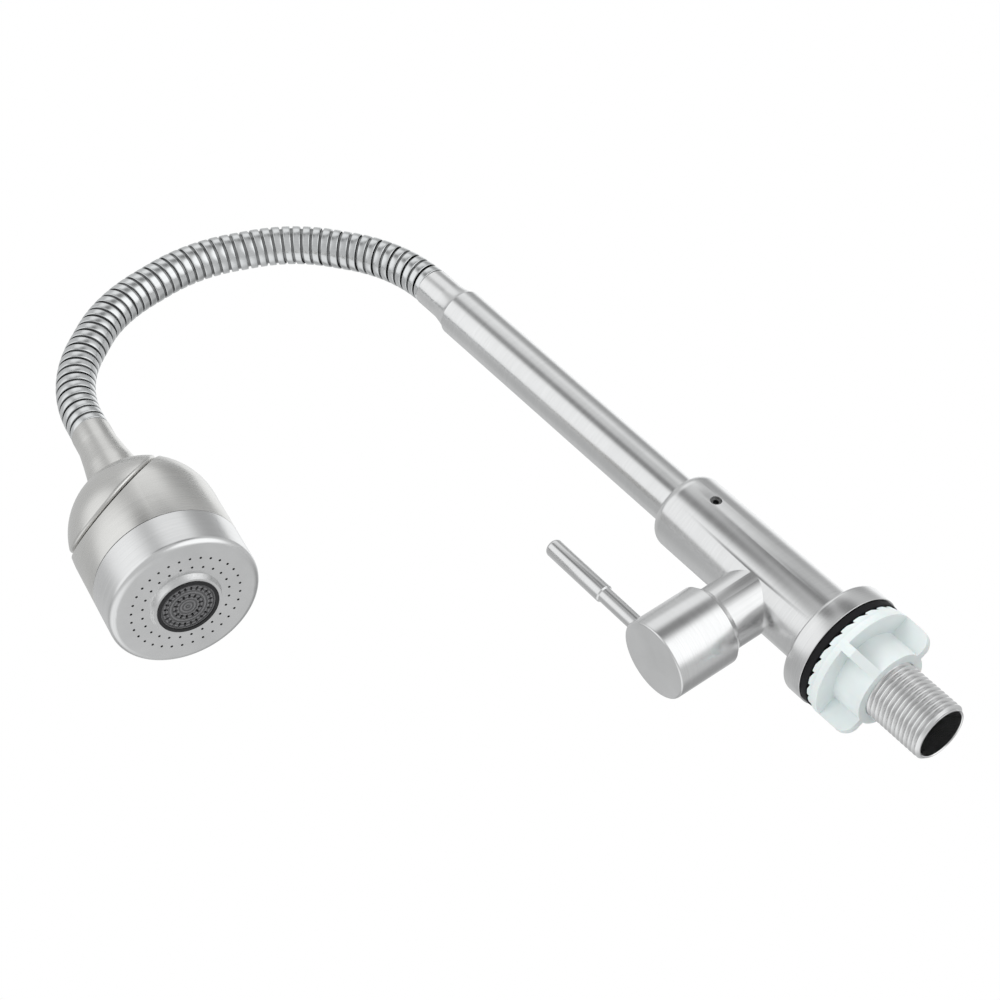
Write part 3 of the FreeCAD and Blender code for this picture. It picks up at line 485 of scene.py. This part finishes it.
def wound_tube(rows, segments, place, crest, root, low=None, high=None):
    """Points, faces and depths of a helical surface.

    rows are (number of pitches, radius) pairs that all advance by a pitch per turn; place
    gives the point for a number of pitches, an angle and a radius; low and high fold the
    rows onto end planes. A point's depth is 0 at the crest's radius and 1 at the root's.
    """
    points, depths = [], []
    for pitches, radius in rows:
        for k in range(segments + 1):
            angle = 2 * math.pi * k / segments
            at = pitches + k / segments
            r = radius
            if low is not None and at < low[0]:
                at, r = low[0], min(radius, low[1])
            if high is not None and at > high[0]:
                at, r = high[0], min(radius, high[1])
            points.append(place(at, angle, r))
            depths.append(min(1.0, (crest - r) / (crest - root)))
    return points, grid_faces(len(rows), segments + 1), depths


# %% Make a piece
POINT_WELD = 0.0000005
SMOOTH_ANGLE = math.radians(35)


def make_piece(name, points, faces, material, depths=()):
    """A mesh object from points and faces, welded, cleaned and shaded."""
    mesh = bpy.data.meshes.new(name)
    shape = bmesh.new()
    # The groove depth that the steel's painted shade reads.
    groove = shape.verts.layers.float.new("groove")
    vertices = [shape.verts.new(p) for p in points]
    for vertex, depth in zip(vertices, depths):
        vertex[groove] = depth
    for face in faces:
        shape.faces.new([vertices[i] for i in face])
    bmesh.ops.remove_doubles(shape, verts=shape.verts, dist=POINT_WELD)
    bmesh.ops.dissolve_degenerate(shape, edges=shape.edges, dist=POINT_WELD)
    bmesh.ops.recalc_face_normals(shape, faces=shape.faces)
    shape.to_mesh(mesh)
    shape.free()
    mesh.materials.append(material)
    mesh.shade_smooth()
    mesh.set_sharp_from_angle(angle=SMOOTH_ANGLE)
    piece = bpy.data.objects.new(name, mesh)
    scene.collection.objects.link(piece)
    return piece


# %% [markdown]
# ## The ribbed hose
# A stripwound hose is a steel strip, rolled to a shallow S and wound so that each turn
# hooks into the next. Outside it shows flat bands with a narrow dark groove between them.
# The frame bends it at a joint after every second turn. The centreline is a chain of arcs,
# one per joint, so that the hose looks round at rest. Each piece is two turns of the strip,
# parted along the groove, and rides on its own link: the real turns are stiff too, and only
# slide in their hooks. A lip reaches under the next piece, as the real hook does.

# %% Hose centreline
RIB_PITCH = 0.0037
RIBS_PER_JOINT = 2
TAIL_RIBS = 2
STRAIGHT = 1e-5
parents = {joint["child"]: joint for joint in frame["joints"]}
chain = []
body = "neck"
while body != "riser":
    chain.insert(0, parents[body])
    body = parents[body]["parent"]
hinges = [Vector(joint["pos_m"]) for joint in chain]
headings = [(b - a).normalized() for a, b in zip(hinges, hinges[1:])]
headings = [UP] + headings + [HEAD_AXIS.normalized()]
hose_ribs = RIBS_PER_JOINT * len(hinges) + TAIL_RIBS


def centreline(pitches):
    """(point, heading) of the hose's axis, a number of rib pitches from its start."""
    index = min(max(int(pitches // RIBS_PER_JOINT), 0), len(hinges) - 1)
    before, after = headings[index], headings[index + 1]
    length = RIBS_PER_JOINT * RIB_PITCH
    share = (pitches - RIBS_PER_JOINT * index) / RIBS_PER_JOINT
    start = hinges[index] - before * length / 2
    end = hinges[index] + after * length / 2
    bend = before.angle(after)
    if share <= 0 or (bend < STRAIGHT and share < 1):
        return start + before * share * length, before
    if share >= 1:
        return end + after * (share - 1) * length, after
    radius = length / 2 / math.tan(bend / 2)
    inward = (after - before * before.dot(after)).normalized()
    angle = bend * share
    point = start + before * radius * math.sin(angle) + inward * radius * (1 - math.cos(angle))
    return point, before * math.cos(angle) + inward * math.sin(angle)


def round_the_hose(pitches, angle, radius):
    """A point at an angle and radius round the hose's axis, counted from the far side."""
    point, heading = centreline(pitches)
    side = ACROSS.cross(heading).normalized()
    other = heading.cross(side)
    return point - other * radius * math.cos(angle) + side * radius * math.sin(angle)


print("hose joints", len(hinges), "ribs", hose_ribs)

# %% Hose profile
# Radii are in metres. The rest are shares of a pitch, measured from the middle of a groove.
HOSE_R = 0.0070
GROOVE_R = 0.0063
PLUG_R = 0.0060
HOOK_R = 0.0061
SOCKET_R = 0.0066
BORE_R = 0.0054
EDGE = 0.135
HOOK_REACH = 0.40
SOCKET_DEPTH = 0.66
HALF_TURN = 0.5
HOSE_SEGMENTS = 72
FLANK = (
    (EDGE, GROOVE_R), (EDGE, HOSE_R - 0.00022), (EDGE + 0.02, HOSE_R - 0.00012),
    (EDGE + 0.05, HOSE_R - 0.00005), (EDGE + 0.11, HOSE_R - 0.00001),
)
BAND_PROFILE = FLANK + ((0.5, HOSE_R),) + tuple((1 - share, radius) for share, radius in reversed(FLANK))


def link_rows(first, last, open_start, open_end):
    """Rows of one link: its bands, the hook under the next link, and the bore inside."""
    rows = [(turn + share, radius) for turn in range(first, last) for share, radius in BAND_PROFILE]
    start, end = first, last
    if open_end:
        end = last + HOOK_REACH
        rows += [(last - EDGE, HOOK_R), (end, HOOK_R)]
    rows.append((end, BORE_R))
    if open_start:
        start = first + SOCKET_DEPTH
        rows[0] = (first + EDGE, SOCKET_R)
        rows += [(start, BORE_R), (start, SOCKET_R), rows[0]]
    else:
        rows += [(start, BORE_R), rows[0]]
    return [(pitches - HALF_TURN, radius) for pitches, radius in rows]


def strip_ends(turns, open_start, open_end):
    """Faces that close the cut ends of the strip, on a link's first and last band."""
    wide = HOSE_SEGMENTS + 1
    band = len(BAND_PROFILE)
    ends = []
    if open_start:
        ends.append(tuple(row * wide for row in range(band)))
    if open_end:
        last_band = range(turns * band - 1, (turns - 1) * band - 1, -1)
        ends.append(tuple(row * wide + HOSE_SEGMENTS for row in last_band))
    return ends


print("band profile points", len(BAND_PROFILE))

# %% [markdown]
# A black rubber tube carries the water inside the hose. It is parted at the hinges, a hair
# short on both sides, and its ends reach into the reducer and into the head's neck.

# %% Hose links and liners
LINER_R = 0.0042
LINER_GAP = 0.08
LINER_TAIL = 4.5
LINER_STATIONS = 7
LINER_SEGMENTS = 32

links = [chain[0]["parent"]] + [joint["child"] for joint in chain]
for index, body in enumerate(links):
    is_first = index == 0
    is_last = index == len(links) - 1
    first = 0 if is_first else RIBS_PER_JOINT * index - 1
    last = hose_ribs if is_last else RIBS_PER_JOINT * index + 1
    # An end link is wound a turn further, and that turn is folded flat onto the hose's end.
    from_turn, to_turn = first - is_first, last + is_last
    points, faces, depths = wound_tube(
        link_rows(from_turn, to_turn, not is_first, not is_last),
        HOSE_SEGMENTS, round_the_hose, HOSE_R, GROOVE_R,
        low=(0.0, PLUG_R) if is_first else None, high=(hose_ribs, PLUG_R) if is_last else None)
    faces += strip_ends(to_turn - from_turn, not is_first, not is_last)
    piece = make_piece("hose_%02d" % index, points, faces, hose_steel, depths)
    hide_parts("gooseneck_link_%02d" % index)
    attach(piece, body)

    low_end = -LINER_TAIL if is_first else first + LINER_GAP
    high_end = last + LINER_TAIL if is_last else last - LINER_GAP
    points = [round_the_hose(station, 2 * math.pi * k / LINER_SEGMENTS, LINER_R)
              for station in np.linspace(low_end, high_end, LINER_STATIONS)
              for k in range(LINER_SEGMENTS + 1)]
    faces = grid_faces(LINER_STATIONS, LINER_SEGMENTS + 1)
    liner = make_piece("liner_%02d" % index, points, faces, black_rubber)
    if is_first:
        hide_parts("inner_hose")
    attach(liner, body)
print("hose pieces", 2 * len(links))

# %% [markdown]
# ## The inlet thread
# The shank has a pipe thread of 14 turns to the inch, cut by a die, so its crests are
# slightly flat. The thread runs out of sight under the nut. The hollow inside is part of
# the same piece, so that the open end looks into a real bore.

# %% Thread profile
THREAD_PITCH = 0.001814
THREAD_TURNS = 22
THREAD_DEPTH = 0.00112
THREAD_SEGMENTS = 96
SHANK_BORE_R = 0.00885
LEAD_CHAMFER = 0.0011
LEAST_WALL = 0.0003
MOUTH_ROUND = 0.00025
shank_low, shank_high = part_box("threaded_shank")
THREAD_R = shank_high.x
THREAD_ROOT_R = THREAD_R - THREAD_DEPTH
THREAD_START = shank_low.z
THREAD_END = THREAD_START + THREAD_TURNS * THREAD_PITCH
THREAD_PROFILE = (
    (0.00, THREAD_ROOT_R), (0.07, THREAD_ROOT_R), (0.13, THREAD_ROOT_R + 0.00010),
    (0.40, THREAD_R - 0.00010), (0.45, THREAD_R), (0.60, THREAD_R), (0.65, THREAD_R - 0.00010),
    (0.93, THREAD_ROOT_R + 0.00008),
)


def round_the_shank(pitches, angle, radius):
    """A point on the thread; the first turns are cut back by the lead chamfer."""
    height = pitches * THREAD_PITCH
    limit = THREAD_R - LEAD_CHAMFER + height if height < LEAD_CHAMFER else THREAD_R
    radius = min(radius, max(limit, SHANK_BORE_R + LEAST_WALL))
    return Vector((radius * math.cos(angle), radius * math.sin(angle), THREAD_START + height))


print("thread from", round(THREAD_START, 4), "to", round(THREAD_END, 4))

# %% Inlet thread and bore
rows = [(turn + share, radius) for turn in range(-2, THREAD_TURNS + 1)
        for share, radius in THREAD_PROFILE]
points, faces, depths = wound_tube(
    rows, THREAD_SEGMENTS, round_the_shank, THREAD_R, THREAD_ROOT_R,
    low=(0.0, THREAD_ROOT_R), high=(THREAD_TURNS, THREAD_ROOT_R))
inside = [
    (THREAD_ROOT_R - 0.00001, THREAD_START), (SHANK_BORE_R + MOUTH_ROUND, THREAD_START),
    (SHANK_BORE_R, THREAD_START + MOUTH_ROUND), (SHANK_BORE_R, shank_high.z),
    (THREAD_ROOT_R, shank_high.z), (THREAD_ROOT_R, THREAD_END),
]
faces += grid_faces(len(inside), THREAD_SEGMENTS + 1, start=len(points))
for radius, height in inside:
    for k in range(THREAD_SEGMENTS + 1):
        angle = 2 * math.pi * k / THREAD_SEGMENTS
        points.append(Vector((radius * math.cos(angle), radius * math.sin(angle), height)))
shank = make_piece("shank_thread", points, faces, thread_steel, depths)
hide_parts("threaded_shank")
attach(shank, "base")
print("thread turns", THREAD_TURNS)
